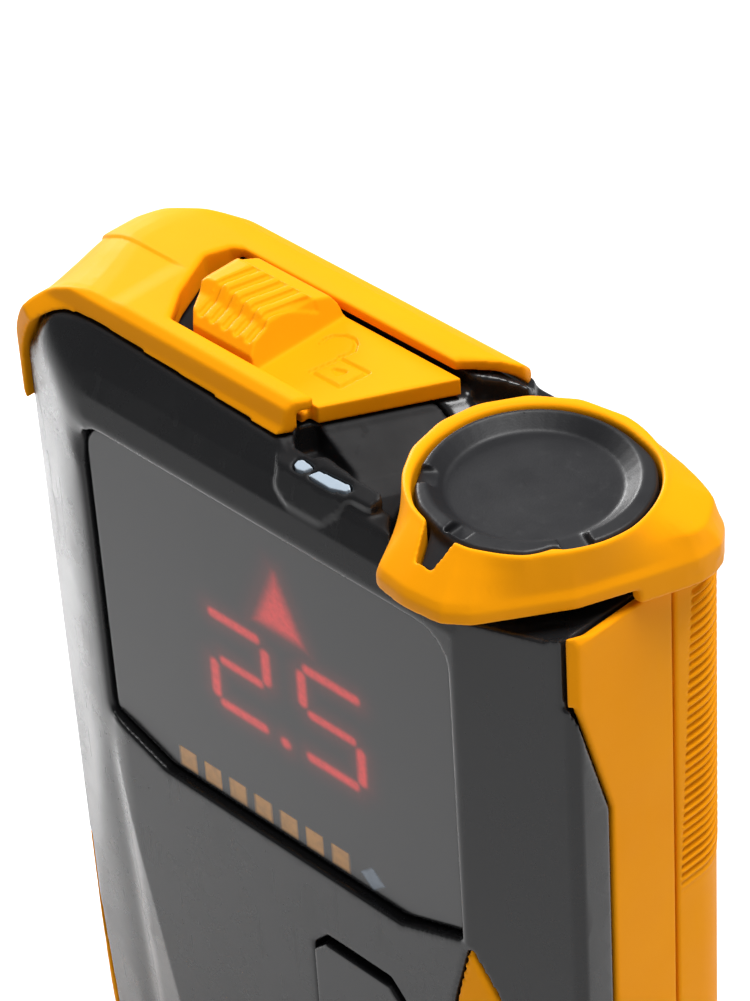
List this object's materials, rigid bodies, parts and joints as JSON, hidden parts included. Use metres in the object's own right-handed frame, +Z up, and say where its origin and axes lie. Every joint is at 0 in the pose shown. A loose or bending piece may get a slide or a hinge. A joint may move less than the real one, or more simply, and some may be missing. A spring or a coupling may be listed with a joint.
{
  "type": "avalanche transceiver",
  "caption": "Hand-held radio beacon with a dark display window, rotary mode knob, slide lock, option button, screwed battery door and a slotted leash lug.",
  "frame": {"origin": "centre of the flat bottom face", "axes": "+Z up along the body towards the knob end, display facing -Y, back and battery door facing +Y, knob on the +X side"},
  "size_m": [0.0721, 0.028, 0.1232],
  "materials": {
    "housing_black": "satin black moulded plastic",
    "grip_yellow": "orange-yellow soft overmould",
    "window_smoke": "smoked window",
    "light_clear": "clear light pipe",
    "rubber_black": "matt",
    "steel": "plain",
    "circuit_board": "solder mask",
    "led_red": "lit segment, moulded",
    "metal_can": "plain can",
    "cell_wrap": "plain cell jacket, no marks",
    "ferrite": "dull",
    "copper_wire": "wound wire"
  },
  "bodies": {
    "housing": {"front_shell": "housing_black", "rear_shell": "housing_black", "top_cap": "grip_yellow", "side_grip_right_front": "grip_yellow", "side_grip_right_rear": "grip_yellow", "side_grip_left": "grip_yellow", "bottom_bumper": "grip_yellow", "leash_lug": "housing_black", "display_window": "window_smoke", "status_light_small": "light_clear", "status_light_large": "light_clear", "door_hinge_pin": "steel", "shell_screw_1": "steel", "shell_screw_2": "steel", "shell_screw_3": "steel", "shell_screw_4": "steel", "shell_seal": "rubber_black", "display_board": "circuit_board", "led_digit_left": "led_red", "led_digit_right": "led_red", "led_arrow": "led_red", "button_membrane": "rubber_black", "dome_switch": "steel", "main_board": "circuit_board", "speaker": "metal_can", "knob_oring": "rubber_black", "selector_switch": "metal_can", "switch_board": "circuit_board", "door_seal": "rubber_black", "battery_cell_1": "cell_wrap", "battery_cell_2": "cell_wrap", "battery_cell_3": "cell_wrap", "battery_contact_top": "steel", "battery_contact_bottom": "steel", "antenna_rod_long": "ferrite", "antenna_coil_long": "copper_wire", "antenna_rod_short": "ferrite", "antenna_coil_short": "copper_wire", "antenna_coil_depth": "copper_wire"},
    "knob": {"knob_skirt": "grip_yellow", "knob_disc": "housing_black", "knob_shaft": "steel"},
    "slide_lock": {"slide_lock": "grip_yellow"},
    "option_button": {"option_button": "housing_black"},
    "battery_door": {"battery_door": "housing_black"},
    "coin_screw": {"coin_screw": "steel"}
  },
  "joints": [
    {"name": "knob_turn", "type": "hinge", "parent": "housing", "child": "knob", "pos_m": [0.0228, -0.0008, 0.1187], "axis": [0, 0, 1], "range_deg": [0, 60]},
    {"name": "lock_slide", "type": "slide", "parent": "housing", "child": "slide_lock", "axis": [1, 0, 0], "range_m": [-0.002, 0]},
    {"name": "button_press", "type": "slide", "parent": "housing", "child": "option_button", "axis": [0, 1, 0], "range_m": [0, 0.0006], "stiffness_N_per_m": 400},
    {"name": "door_hinge", "type": "hinge", "parent": "housing", "child": "battery_door", "pos_m": [0, 0.011, 0.014], "axis": [-1, 0, 0], "range_deg": [0, 100]},
    {"name": "coin_turn", "type": "hinge", "parent": "battery_door", "child": "coin_screw", "pos_m": [0, 0.0115, 0.0706], "axis": [0, 1, 0], "range_deg": [0, 90]}
  ]
}
